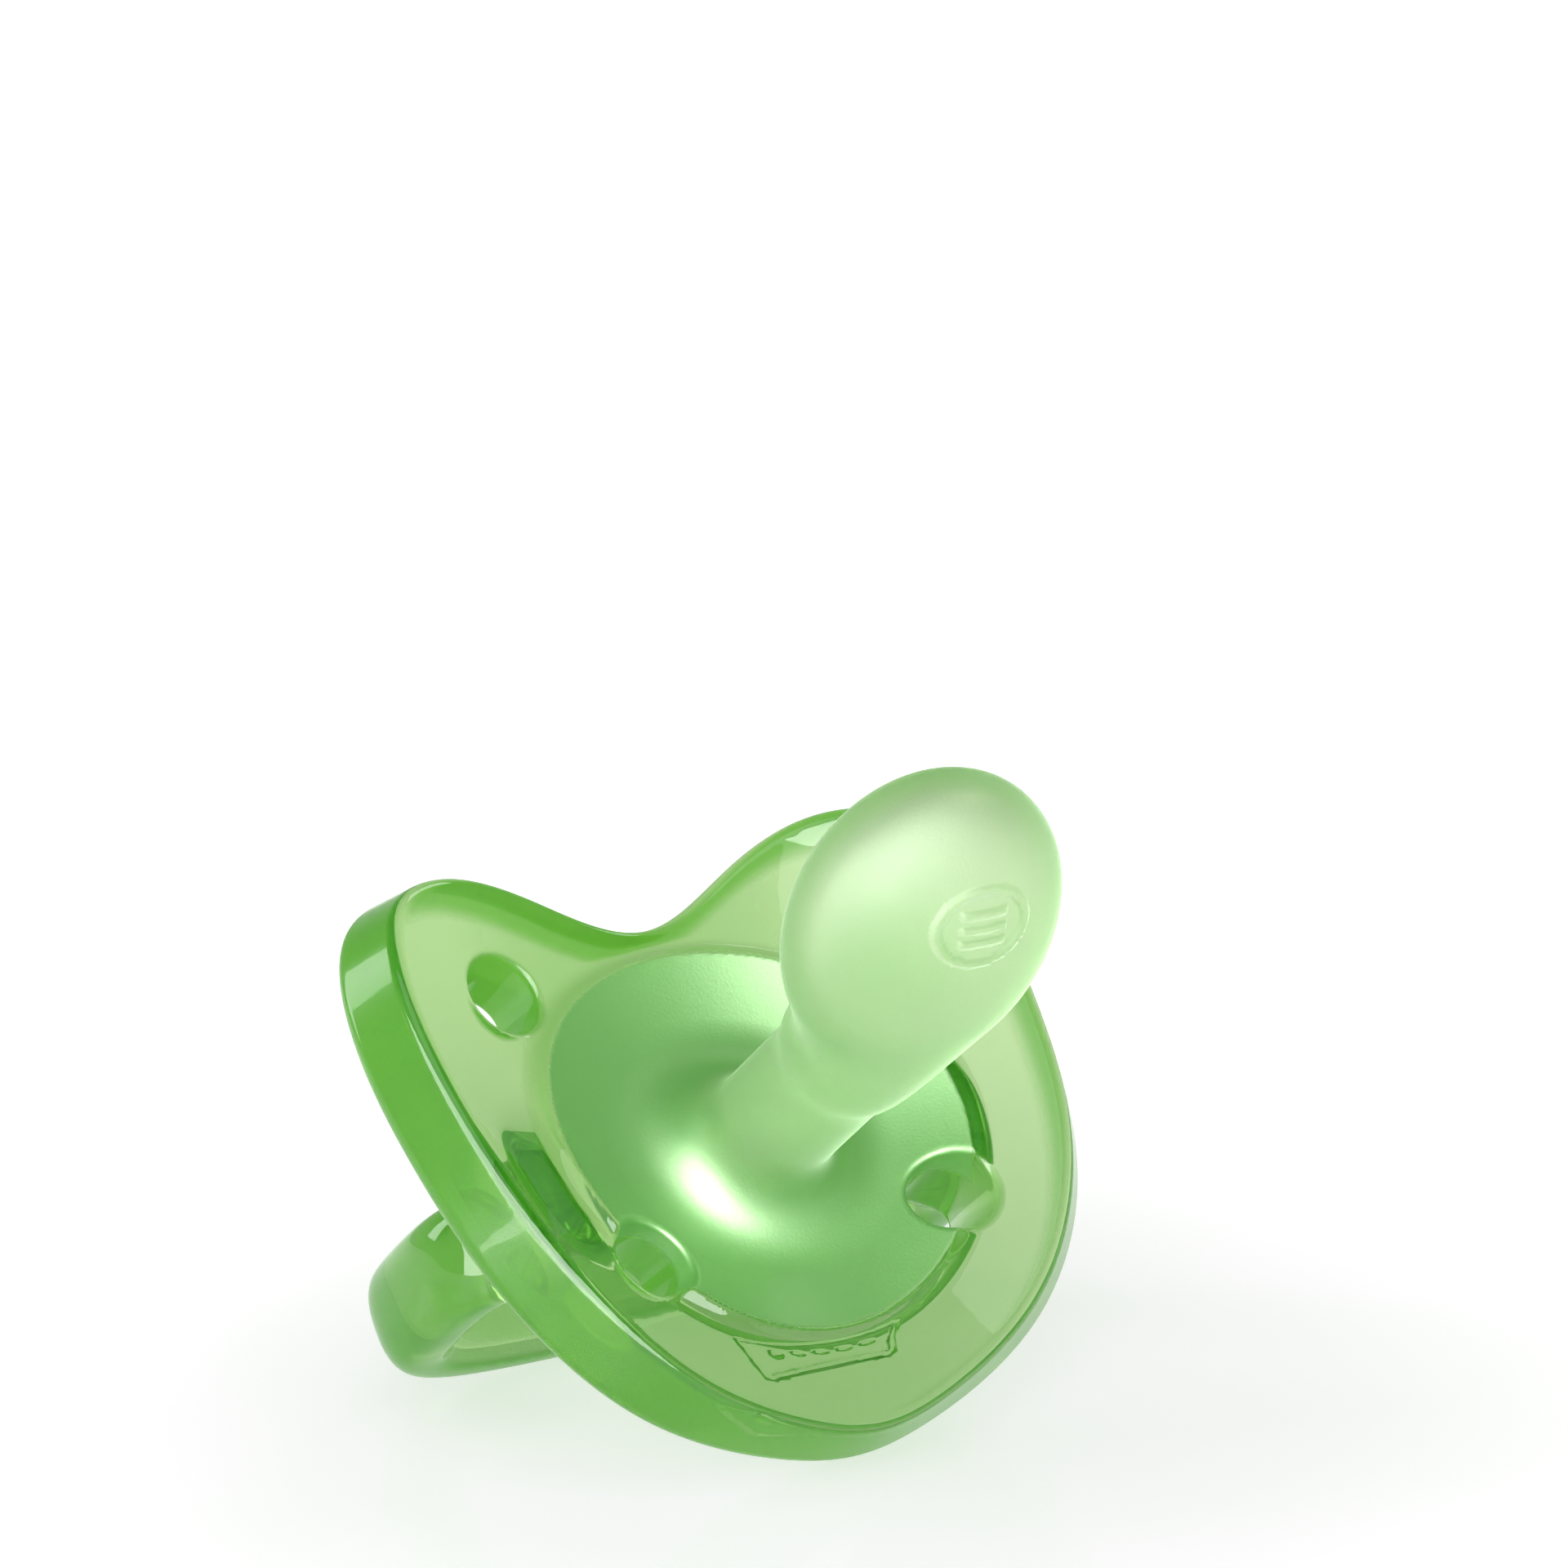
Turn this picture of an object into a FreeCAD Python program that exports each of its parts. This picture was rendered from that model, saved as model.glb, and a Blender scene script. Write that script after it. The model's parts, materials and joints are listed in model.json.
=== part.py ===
"""One-piece silicone soother, modelled as the moulded zones that it flexes between.

Three frames are used, all with X across the face:
  shield frame  Y up the shield to the nose notch, Z out of the shield towards the mouth
  mould frame   Z along the axis on which the teat, vents and handle are drawn from the mould
  table frame   Z up, the soother resting on its lower rim and on its handle
Lengths are millimetres and angles are degrees.
"""
import FreeCAD, Part
import math
import os

from FreeCAD import Vector

# ---- driving dimensions ----
MOULD_TILT = 14.0            # mould axis leans this far towards the chin from the shield's normal
REST_LEAN = 36.48            # mould axis above the table when the soother rests on chin and handle

SHIELD_HALF_WIDTH = 21.5
SHIELD_NOTCH_Y = 17.5        # bottom of the nose notch
SHIELD_CHIN_Y = -20.4        # lowest point of the chin edge
SHIELD_THICKNESS = 5.6
SIDE_SWEEP = 6.6             # how far the sides sweep towards the face at full half width
BROW_SWEEP = 1.7             # cubic sweep at 20 mm: the top edge towards the face, the chin away
BROW_LIFT = 0.9              # square sweep at 20 mm: both edges towards the face
RIM_RADIUS = 1.3

VENT_RADIUS = 2.75
UPPER_VENT = (12.7, 13.5)
LOWER_VENT = (11.0, -6.7)

DISH_RADIUS = 14.4
DISH_CENTRE_Y = 0.7
DISH_RIDGE_HEIGHT = 0.9      # ridge above the shield's face
DISH_DEPTH = 2.0             # bowl below the ridge

NECK_RADIUS = 4.3
BORE_RADIUS = 2.4            # hollow core of the neck, open at the back of the shield
BALL_RADIUS = 3.5            # each bend is a ball inside a socket of the same material
STEM_RADIUS = 3.0
RUNNING_GAP = 0.05
NECK_BEND_Z = 9.0            # where the neck bends up and down
BULB_BEND_Z = 16.6           # where the bulb swings from side to side

BULB_CENTRE = (0.0, 3.6, 28.4)
BULB_HALF_WIDTH = 9.0
BULB_HALF_THICKNESS = 6.1
BULB_HALF_LENGTH = 10.3
BULB_TILT = 28.0             # bulb leans this far up towards the palate from the mould axis
BULB_WALL = 1.7

HANDLE_Y = -0.4              # mid plane of the handle, above the mould axis
HANDLE_HALF_WIDTH = 18.2     # centre line of the band
HANDLE_CENTRE_Z = -13.0
HANDLE_REAR_DEPTH = 8.6      # centre line, from the loop's centre to its rear
HANDLE_FRONT_DEPTH = 9.5     # and to where its front would close, inside the shield
HANDLE_SQUARENESS = 3.7      # exponent of the loop's rounded rectangle
BAND_HALF_HEIGHT = 3.6
BAND_HALF_THICKNESS = 2.4
BAND_EDGE_RADIUS = 1.8
HANDLE_BEND_Z = -7.2         # line behind the shield that the handle folds about
KNUCKLE_RADIUS = 3.3
FOOT_HALF_HEIGHT = 2.0
KNUCKLE_X = (13.0, 19.8)

PLATE_CENTRE_Y = -12.4       # raised name-plate frame on the back of the chin, left blank
PLATE_HALF_WIDTH = 5.6
PLATE_HALF_HEIGHT = 1.9
PLATE_LINE = 0.5
PLATE_RELIEF = 0.4


def shield_face(x, y):
    """Height of the shield's front face above its own centre."""
    side = SIDE_SWEEP * (x / SHIELD_HALF_WIDTH) ** 2
    return side + BROW_SWEEP * (y / 20.0) ** 3 + BROW_LIFT * (y / 20.0) ** 2


def dish_face(x, y):
    """Height of the satin bowl that surrounds the teat, above the shield's centre."""
    fraction = (x * x + (y - DISH_CENTRE_Y) ** 2) / DISH_RADIUS ** 2
    return shield_face(x, y) + DISH_RIDGE_HEIGHT - DISH_DEPTH * (1.0 - fraction)


def sheet(height, half_size=30.0, count=13):
    """A smooth sheet through a square grid of heights, wider than the shield."""
    steps = [half_size * (2.0 * i / (count - 1) - 1.0) for i in range(count)]
    surface = Part.BSplineSurface()
    surface.interpolate([[Vector(x, y, height(x, y)) for y in steps] for x in steps])
    return surface.toShape()


def mirrored_loop(right_side):
    """A closed smooth curve through points on the right, from top to bottom, and their mirror images."""
    left_side = [(-x, y) for x, y in reversed(right_side[1:-1])]
    curve = Part.BSplineCurve()
    curve.interpolate([Vector(x, y, 0) for x, y in right_side + left_side], PeriodicFlag=True)
    return Part.Wire(curve.toShape())


def shield_outline():
    """The butterfly outline: nose notch, lobe, cheek and chin."""
    w = SHIELD_HALF_WIDTH
    return mirrored_loop([
        (0.0, SHIELD_NOTCH_Y),
        (0.34 * w, SHIELD_NOTCH_Y + 2.7),
        (0.65 * w, SHIELD_NOTCH_Y + 3.9),
        (0.885 * w, SHIELD_NOTCH_Y + 1.4),
        (0.995 * w, 12.3),
        (0.985 * w, 4.0),
        (0.875 * w, -6.9),
        (0.61 * w, -15.3),
        (0.24 * w, SHIELD_CHIN_Y + 1.0),
        (0.0, SHIELD_CHIN_Y),
    ])


def prism(wire, low, high):
    """A straight block through the outline, along Z."""
    block = Part.Face(wire).extrude(Vector(0, 0, high - low))
    block.translate(Vector(0, 0, low))
    return block


def shield_plate():
    """The whole shield as a plate of even thickness, with its edge square to the face."""
    skin = sheet(shield_face).common(prism(shield_outline(), -30, 30)).Faces[0]
    return skin.makeOffsetShape(-SHIELD_THICKNESS, 1e-3, fill=True).Solids[0]


def sheet_behind(depth):
    """A sheet at an even depth behind the shield's face."""
    return sheet(shield_face).makeOffsetShape(-depth, 1e-3)


def to_mould(shape):
    """Shield frame to mould frame."""
    shape.rotate(Vector(0, 0, 0), Vector(1, 0, 0), -MOULD_TILT)
    return shape


def vents():
    """The four vent holes, drawn along the mould axis (mould frame)."""
    holes = []
    for x, y in (UPPER_VENT, LOWER_VENT):
        for side in (-1, 1):
            centre = Vector(side * x, y, shield_face(x, y))
            tilt = FreeCAD.Rotation(Vector(1, 0, 0), -MOULD_TILT)
            foot = tilt.multVec(centre) - Vector(0, 0, 20)
            holes.append(Part.makeCylinder(VENT_RADIUS, 40, foot))
    return holes


def dish_cutter(radius):
    """A cylinder round the dish, square to the shield (mould frame)."""
    return to_mould(Part.makeCylinder(radius, 40, Vector(0, DISH_CENTRE_Y, -20)))


def core():
    """The hollow core's straight bore along the teat axis (mould frame)."""
    return Part.makeCylinder(BORE_RADIUS, 60, Vector(0, DISH_CENTRE_Y, -20))


def shield():
    """The glossy butterfly flange outside the dish."""
    plate = shield_plate()
    rim = [edge for edge in plate.Edges if edge.Length > 90]
    plate = to_mould(plate.makeFillet(RIM_RADIUS, rim))
    return plate.cut(dish_cutter(DISH_RADIUS)).cut(Part.makeCompound(vents())).Solids[0]


def ball_stem(bend_z, stem_foot_z):
    """A ball on a short stem, about the teat axis."""
    stem = Part.makeCylinder(STEM_RADIUS, bend_z - stem_foot_z, Vector(0, 0, stem_foot_z))
    return stem.fuse(Part.makeSphere(BALL_RADIUS, Vector(0, 0, bend_z)))


def socket_space(bend_z):
    """The space that a ball and its stem need inside the part that turns round them."""
    ball = Part.makeSphere(BALL_RADIUS + RUNNING_GAP, Vector(0, 0, bend_z))
    skirt_foot = Part.makeCylinder(30, 40, Vector(0, 0, bend_z + 0.35 - 40))
    return ball.fuse(skirt_foot)


def neck_flare():
    """The flare that rises out of the bowl, and the ball that the neck bends on."""
    flare_top = NECK_BEND_Z - 2.7
    low = -4.0
    edges = [
        Part.makeLine(Vector(0, 0, low), Vector(9.2, 0, low)),
        Part.makeLine(Vector(9.2, 0, low), Vector(9.2, 0, -0.6)),
        Part.Arc(Vector(9.2, 0, -0.6), Vector(5.2, 0, 1.6), Vector(STEM_RADIUS + 0.6, 0, flare_top)).toShape(),
        Part.makeLine(Vector(STEM_RADIUS + 0.6, 0, flare_top), Vector(0, 0, flare_top)),
        Part.makeLine(Vector(0, 0, flare_top), Vector(0, 0, low)),
    ]
    flare = Part.Face(Part.Wire(edges)).revolve(Vector(0, 0, 0), Vector(0, 0, 1), 360)
    return flare.fuse(ball_stem(NECK_BEND_Z, flare_top - 1.0)).translated(Vector(0, DISH_CENTRE_Y, 0))


def dish():
    """The satin bowl with the neck's flare, seated in the shield's round opening."""
    cylinder = Part.makeCylinder(DISH_RADIUS, 40, Vector(0, DISH_CENTRE_Y, -20))
    under_face = sheet(dish_face).extrude(Vector(0, 0, -14))
    over_back = sheet_behind(SHIELD_THICKNESS).extrude(Vector(0, 0, 20))
    bowl = to_mould(cylinder.common(under_face).common(over_back))
    flare = neck_flare().common(to_mould(sheet_behind(SHIELD_THICKNESS - 0.5).extrude(Vector(0, 0, 40))))
    return bowl.fuse(flare).cut(core()).cut(Part.makeCompound(vents())).Solids[0]


def neck():
    """The hollow neck, between the bend at its root and the bend at the bulb."""
    tube_top = BULB_BEND_Z - 2.7
    tube = Part.makeCylinder(NECK_RADIUS, tube_top - NECK_BEND_Z + 2, Vector(0, 0, NECK_BEND_Z - 2))
    body = tube.fuse(ball_stem(BULB_BEND_Z, tube_top - 1.0)).cut(socket_space(NECK_BEND_Z))
    return body.translated(Vector(0, DISH_CENTRE_Y, 0)).cut(core()).Solids[0]


def ellipse_wire(half_width, half_height, y, z, tilt):
    """An ellipse across the teat, tilted up towards the palate."""
    ring = Part.Ellipse(Vector(0, 0, 0), half_width, half_height).toShape()
    ring.rotate(Vector(0, 0, 0), Vector(1, 0, 0), -tilt)
    ring.translate(Vector(0, y, z))
    return Part.Wire(ring)


def bulb_solid(inset):
    """The flattened bulb and its shoulder, shrunk by the inset all round."""
    scale = FreeCAD.Matrix()
    scale.scale(BULB_HALF_WIDTH - inset, BULB_HALF_THICKNESS - inset, BULB_HALF_LENGTH - inset)
    egg = Part.makeSphere(1.0).transformGeometry(scale)
    egg.rotate(Vector(0, 0, 0), Vector(1, 0, 0), -BULB_TILT)
    egg.translate(Vector(*BULB_CENTRE))
    root_z = BULB_BEND_Z + 0.2
    shoulder = Part.makeLoft([
        ellipse_wire(NECK_RADIUS + 0.01 - inset, NECK_RADIUS - inset, DISH_CENTRE_Y, root_z, 0.0),
        ellipse_wire(5.7 - inset, 4.6 - inset, 0.5, 20.2, 0.5 * BULB_TILT),
        ellipse_wire(7.7 - inset, 5.2 - inset, 1.2, 24.0, BULB_TILT),
    ], True)
    return egg.fuse(shoulder)


def bulb():
    """The hollow orthodontic bulb."""
    shell = bulb_solid(0.0).cut(bulb_solid(BULB_WALL))
    socket = socket_space(BULB_BEND_Z).translated(Vector(0, DISH_CENTRE_Y, 0))
    return shell.cut(socket).cut(core().common(Part.makeBox(20, 20, 60, Vector(-10, -10, -38)))).Solids[0]


def loop_wire(offset):
    """The handle seen along its height: a rounded rectangle, deeper in front than behind."""
    power = 2.0 / HANDLE_SQUARENESS
    points = []
    for step in range(48):
        angle = 2.0 * math.pi * (step + 0.5) / 48
        across = math.cos(angle)
        along = math.sin(angle)
        depth = HANDLE_FRONT_DEPTH if along > 0 else HANDLE_REAR_DEPTH
        x = math.copysign(abs(across) ** power, across) * (HANDLE_HALF_WIDTH + offset)
        z = math.copysign(abs(along) ** power, along) * (depth + offset)
        points.append(Vector(x, 0, HANDLE_CENTRE_Z + z))
    curve = Part.BSplineCurve()
    curve.interpolate(points, PeriodicFlag=True)
    return Part.Wire(curve.toShape())


def band(half_height, edge_radius=0.0):
    """The closed band of the handle, before it is cut where it meets the shield."""
    height = Vector(0, 2 * half_height, 0)
    outer = Part.Face(loop_wire(BAND_HALF_THICKNESS)).extrude(height)
    inner = Part.Face(loop_wire(-BAND_HALF_THICKNESS)).extrude(height)
    ring = outer.cut(inner)
    if edge_radius:
        long_edges = [edge for edge in ring.Edges if edge.Length > 40]
        ring = ring.makeFillet(edge_radius, long_edges)
    return ring.translated(Vector(0, HANDLE_Y - half_height, 0))


def knuckle(radius, x_low, x_high):
    """A round bar along the handle's folding line."""
    return Part.makeCylinder(radius, x_high - x_low, Vector(x_low, HANDLE_Y, HANDLE_BEND_Z), Vector(1, 0, 0))


def handle_loop():
    """The finger loop, from its folding line backwards."""
    reach = KNUCKLE_RADIUS + RUNNING_GAP
    front = Part.makeBox(80, 80, 40, Vector(-40, -40, HANDLE_BEND_Z - 0.64 * reach))
    loop = band(BAND_HALF_HEIGHT, BAND_EDGE_RADIUS).cut(front)
    return loop.cut(knuckle(reach, -30, 30)).Solids[0]


def handle_feet():
    """Left and right feet of the handle, each a web from the shield to a knuckle."""
    plate = to_mould(shield_plate())
    near, far = KNUCKLE_X
    feet = []
    for x_low, x_high in ((-far, -near), (near, far)):
        leg_space = Part.makeBox(far - near, 80, 20, Vector(x_low, -40, HANDLE_BEND_Z))
        web = band(FOOT_HALF_HEIGHT).common(leg_space)
        foot = web.fuse(knuckle(KNUCKLE_RADIUS, x_low, x_high)).cut(plate)
        behind_shield = [solid for solid in foot.Solids if solid.BoundBox.ZMin < HANDLE_BEND_Z]
        feet.append(behind_shield[0])
    return feet


def name_plate():
    """A raised blank frame on the back of the chin."""
    rims = []
    for inset in (0.0, PLATE_LINE):
        w = PLATE_HALF_WIDTH - inset
        h = PLATE_HALF_HEIGHT - inset
        corners = [(-w, h), (w, h), (0.86 * w, -h), (-0.86 * w, -h), (-w, h)]
        wire = Part.makePolygon([Vector(x, PLATE_CENTRE_Y + y, 0) for x, y in corners])
        rims.append(prism(wire, -20, 20))
    frame = rims[0].cut(rims[1])
    below_back = sheet_behind(SHIELD_THICKNESS).extrude(Vector(0, 0, -3))
    above_relief = sheet_behind(SHIELD_THICKNESS + PLATE_RELIEF).extrude(Vector(0, 0, 3))
    return to_mould(frame.common(below_back).common(above_relief)).Solids[0]


def build():
    """Every node, in the mould frame."""
    left_foot, right_foot = handle_feet()
    return {
        "shield_flange": shield(),
        "dish_panel": dish(),
        "teat_neck": neck(),
        "teat_bulb": bulb(),
        "handle_foot_left": left_foot,
        "handle_foot_right": right_foot,
        "handle_loop": handle_loop(),
        "name_plate_frame": name_plate(),
    }


def place_on_table(nodes):
    """Mould frame to table frame: lean back, then move the box's bottom centre to the origin."""
    for shape in nodes.values():
        shape.rotate(Vector(0, 0, 0), Vector(1, 0, 0), 90.0 - REST_LEAN)
    box = Part.makeCompound(list(nodes.values())).optimalBoundingBox(True, False)
    middle_y = 0.5 * (box.YMin + box.YMax)
    for shape in nodes.values():
        shape.translate(Vector(0, -middle_y, -box.ZMin))
    return Vector(0, -middle_y, -box.ZMin)


def main():
    """Write one STEP file per node."""
    os.makedirs("parts", exist_ok=True)
    nodes = build()
    shift = place_on_table(nodes)
    print("mould origin in the table frame:", shift)
    for name, shape in nodes.items():
        print(name, "valid", shape.isValid(), "cm3", round(shape.Volume / 1000, 3))
        shape.exportStep(os.path.join("parts", name + ".step"))


if __name__ == "__main__":
    main()
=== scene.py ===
import json
import math

import bmesh
import bpy
import numpy as np
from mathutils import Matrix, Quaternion, Vector


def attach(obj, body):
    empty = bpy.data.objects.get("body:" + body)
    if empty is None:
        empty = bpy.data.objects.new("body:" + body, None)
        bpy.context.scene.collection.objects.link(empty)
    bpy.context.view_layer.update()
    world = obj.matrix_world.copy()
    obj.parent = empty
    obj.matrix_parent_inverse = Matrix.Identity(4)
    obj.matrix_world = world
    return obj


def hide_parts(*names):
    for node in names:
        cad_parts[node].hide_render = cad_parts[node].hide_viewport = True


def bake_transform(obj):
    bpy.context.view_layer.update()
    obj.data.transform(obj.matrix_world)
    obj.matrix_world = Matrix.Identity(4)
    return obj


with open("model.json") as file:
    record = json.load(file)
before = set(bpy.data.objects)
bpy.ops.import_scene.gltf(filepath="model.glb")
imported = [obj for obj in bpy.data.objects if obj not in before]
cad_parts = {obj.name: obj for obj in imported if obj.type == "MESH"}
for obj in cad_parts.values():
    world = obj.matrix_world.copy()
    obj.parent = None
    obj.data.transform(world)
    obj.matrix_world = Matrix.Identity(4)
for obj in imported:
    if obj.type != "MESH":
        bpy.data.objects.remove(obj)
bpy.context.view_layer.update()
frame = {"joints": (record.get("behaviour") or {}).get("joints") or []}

# A one-piece silicone soother. Its skin is one smooth field, meshed once and then parted at four
# hidden seams into a body, a finger loop, a neck and a bulb.
# Lengths are millimetres until a piece is placed. Two frames are used besides the row frame:
#   shield frame  Y up the shield to the nose notch, Z out of the shield towards the mouth
#   mould frame   the shield frame turned so that Z runs along the teat

MOULD_TILT = math.radians(14.0)
ROW_TILT = math.radians(53.52)

SHIELD_HALF_WIDTH = 21.5
SHIELD_THICKNESS = 5.6
SIDE_SWEEP = 6.6
BROW_SWEEP = 1.7
BROW_LIFT = 0.9
BROW_REACH = 20.0                       # height at which the brow has this sweep and lift
FOLLOWED_REACH = 9.0                    # how far in front of the face its curve is followed
FRONT_EDGE_RADIUS = 0.8
BACK_EDGE_RADIUS = 1.3

DISH_RADIUS = 14.4
DISH_CENTRE_Y = 0.7
RIDGE_HEIGHT = 0.9
RIDGE_FLANK = 0.95                      # how fast the ridge falls on its outer side
RIDGE_CREST = 0.22                      # softness of its crest
RIDGE_FOOT = 0.5                        # softness of its foot
BOWL_DEPTH = 2.0

VENT_RADIUS = 2.75
VENT_DRAFT = 0.13                       # narrower towards the back
VENT_TOP = 14.0                         # mould frame height that lies before the shield
VENTS = ((12.7, 13.5), (11.0, -6.7))

NECK_RADIUS = 4.0
NECK_TOP = 15.0                         # where the neck's round end starts, inside the bulb
BORE_RADIUS = 2.3
BORE_TOP = 17.0
BULB_CENTRE = (0.0, 3.6, 28.4)
BULB_HALVES = (9.0, 6.1, 10.3)
BULB_TILT = math.radians(28.0)
BULB_WALL = 1.7

EMBLEM_HEIGHT = 3.6                     # along the bulb from its middle
EMBLEM_HALVES = (3.1, 2.3)
EMBLEM_PITCH = 0.9
EMBLEM_RELIEF = 0.22

HANDLE_Y = -0.4
HANDLE_HALF_WIDTH = 18.2
HANDLE_CENTRE_Z = -13.0
HANDLE_REAR = 8.6
HANDLE_FRONT = 9.5
SQUARENESS = 3.7
BAND_HALF_HEIGHT = 3.6
BAND_HALF_THICKNESS = 2.4
BAND_ROUNDNESS = 2.6
BAND_FRONT_GAP = 12.6                   # half width of the part left out across the front

PLATE_Y = -12.4
PLATE_HALVES = (5.6, 1.9)
PLATE_CORNER = 0.8
PLATE_TAPER = 0.09                      # narrowing towards the chin, as a share
PLATE_RELIEF = 0.32
PIP_PITCH = 1.5
PIP_RELIEF = 0.3

ROOT_FILLET = 6.0                       # teat to dish
LEG_FILLET = 2.6                        # handle to shield
BULB_FILLET = 7.0                       # neck to bulb outside
CORE_FILLET = 5.0                       # neck to bulb inside
VENT_EDGE_RADIUS = 0.5
BORE_EDGE_RADIUS = 0.8
BEHIND_SHIELD = -9.0                    # mould frame height that lies behind the shield

LOOP_SHARE = 0.42                       # how far the finger loop has the walls' solid look

LEG_SEAM = -4.95                        # height of the seam in the shield frame
NECK_SEAM = 5.8                         # heights of the seams in the mould frame
BULB_SEAM = 12.8
SEAM_SNAP = 2e-5                        # metres
TEAT_AXIS_HEIGHT = 9.0                  # of the teat's bending axis in the mould frame
NECK_BEND = (NECK_SEAM, 12.2)           # heights on the teat's axis around the root of the teat
BULB_BEND = (13.4, 19.8)                # and around where the bulb meets the neck
LEG_BEND = (LEG_SEAM, -9.6)             # and, in the shield frame, heights on the handle's mid line at its legs

CELL = 0.24      # size of the meshing grid
SKIN_LOW = (-25.0, -23.0, -26.0)        # corners of the grid in the mould frame
SKIN_HIGH = (25.0, 24.0, 41.0)
COARSEST = 16                           # cells along the side of the first, coarse blocks
KEPT_REACH = 1.6                        # blocks nearer to the skin than this many sides are split
KEY_SPAN = 4096                         # more than the cells along any side of the grid


# ---------------------------------------------------------------- small field tools

def turn_x(x, y, z, angle):
    """Points turned about the X axis."""
    c = math.cos(angle)
    s = math.sin(angle)
    return x, y * c - z * s, y * s + z * c


def join(a, b, radius):
    """Union of two fields with a fillet."""
    fillet = np.hypot(np.maximum(radius - a, 0.0), np.maximum(radius - b, 0.0))
    return np.maximum(radius, np.minimum(a, b)) - fillet


def meet(a, b, radius):
    """Intersection of two fields with a rounded edge."""
    return -join(-a, -b, radius)


def cut(a, b, radius):
    """Field a with field b taken out, the edge rounded."""
    return meet(a, -b, radius)


def step(low, high, value):
    """0 below low, 1 above high, smooth between."""
    t = np.clip((value - low) / (high - low), 0.0, 1.0)
    return t * t * (3.0 - 2.0 * t)


def ellipsoid(x, y, z, halves):
    """Roughly the distance from an ellipsoid's skin."""
    a, b, c = halves
    k0 = np.sqrt((x / a) ** 2 + (y / b) ** 2 + (z / c) ** 2)
    k1 = np.sqrt((x / a ** 2) ** 2 + (y / b ** 2) ** 2 + (z / c ** 2) ** 2)
    return k0 * (k0 - 1.0) / np.maximum(k1, 1e-6)


class Loop:
    """A closed smooth curve through points, given clockwise, and the signed distance from it."""

    def __init__(self, points, centre):
        self.p = np.array(points, float)
        n = len(self.p)
        self.h = np.linalg.norm(np.roll(self.p, -1, 0) - self.p, axis=1)
        self.t = np.concatenate([[0.0], np.cumsum(self.h)])
        slopes = (np.roll(self.p, -1, 0) - self.p) / self.h[:, None]
        system = np.zeros((n, n))
        for i in range(n):
            system[i, i - 1] += self.h[i - 1]
            system[i, i] += 2.0 * (self.h[i - 1] + self.h[i])
            system[i, (i + 1) % n] += self.h[i]
        self.m = np.linalg.solve(system, 6.0 * (slopes - np.roll(slopes, 1, 0)))
        self.centre = np.array(centre)
        sample_t = np.linspace(0.0, self.t[-1], 720, endpoint=False)
        ray = self.at(sample_t)[0] - self.centre
        angle = np.arctan2(ray[:, 0], ray[:, 1])
        order = np.argsort(angle)
        self.angle = angle[order]
        self.angle_t = np.unwrap(sample_t[order], period=self.t[-1])

    def at(self, t):
        """Point, first and second derivative at t."""
        t = np.mod(t, self.t[-1])
        k = np.clip(np.searchsorted(self.t, t, side="right") - 1, 0, len(self.h) - 1)
        j = (k + 1) % len(self.h)
        h = self.h[k][:, None]
        b = ((t - self.t[k]) / self.h[k])[:, None]
        a = 1.0 - b
        bend = ((a ** 3 - a) * self.m[k] + (b ** 3 - b) * self.m[j]) * h * h / 6.0
        point = a * self.p[k] + b * self.p[j] + bend
        slope = (self.p[j] - self.p[k]) / h
        slope = slope + ((3 * b * b - 1) * self.m[j] - (3 * a * a - 1) * self.m[k]) * h / 6.0
        return point, slope, a * self.m[k] + b * self.m[j]

    def distance(self, x, y):
        """Positive outside the loop. The loop is seen whole from its centre."""
        place = np.stack([x, y], 1)
        ray = place - self.centre
        t = np.interp(np.arctan2(ray[:, 0], ray[:, 1]), self.angle, self.angle_t)
        for _ in range(6):
            point, slope, bend = self.at(t)
            gap = point - place
            size = (slope * slope).sum(1) + (gap * bend).sum(1)
            t = t - np.clip((gap * slope).sum(1) / np.maximum(size, 0.25), -1.5, 1.5)
        point, slope, _ = self.at(t)
        gap = place - point
        return (gap[:, 1] * slope[:, 0] - gap[:, 0] * slope[:, 1]) / np.linalg.norm(slope, axis=1)


def mirrored(right_side):
    """The right side's points and, back up the left, their mirror images."""
    return right_side + [(-x, y) for x, y in reversed(right_side[1:-1])]


# from the nose notch to the chin: share of the half width, and height
OUTLINE_RIGHT = (
    (0.0, 17.5),
    (0.34, 20.2),
    (0.65, 21.4),
    (0.885, 18.9),
    (0.995, 12.3),
    (0.985, 4.0),
    (0.875, -6.9),
    (0.61, -15.3),
    (0.24, -19.4),
    (0.0, -20.4),
)
OUTLINE = Loop(mirrored([(share * SHIELD_HALF_WIDTH, y) for share, y in OUTLINE_RIGHT]),
               (0.0, 0.0))


def handle_points(count=48):
    """The handle's centre line: a rounded rectangle, deeper in front than behind."""
    points = []
    for i in range(count):
        angle = -2.0 * math.pi * (i + 0.5) / count
        c = math.cos(angle)
        s = math.sin(angle)
        depth = HANDLE_FRONT if s > 0 else HANDLE_REAR
        x = math.copysign(abs(c) ** (2.0 / SQUARENESS), c) * HANDLE_HALF_WIDTH
        z = math.copysign(abs(s) ** (2.0 / SQUARENESS), s) * depth
        points.append((x, HANDLE_CENTRE_Z + z))
    return points


HANDLE_LOOP = Loop(handle_points(), (0.0, HANDLE_CENTRE_Z))


# ---------------------------------------------------------------- the soother's parts as fields

def face_height(x, y):
    """The shield's front face, in the shield frame."""
    brow = BROW_SWEEP * (y / BROW_REACH) ** 3 + BROW_LIFT * (y / BROW_REACH) ** 2
    return SIDE_SWEEP * (x / SHIELD_HALF_WIDTH) ** 2 + brow


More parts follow.
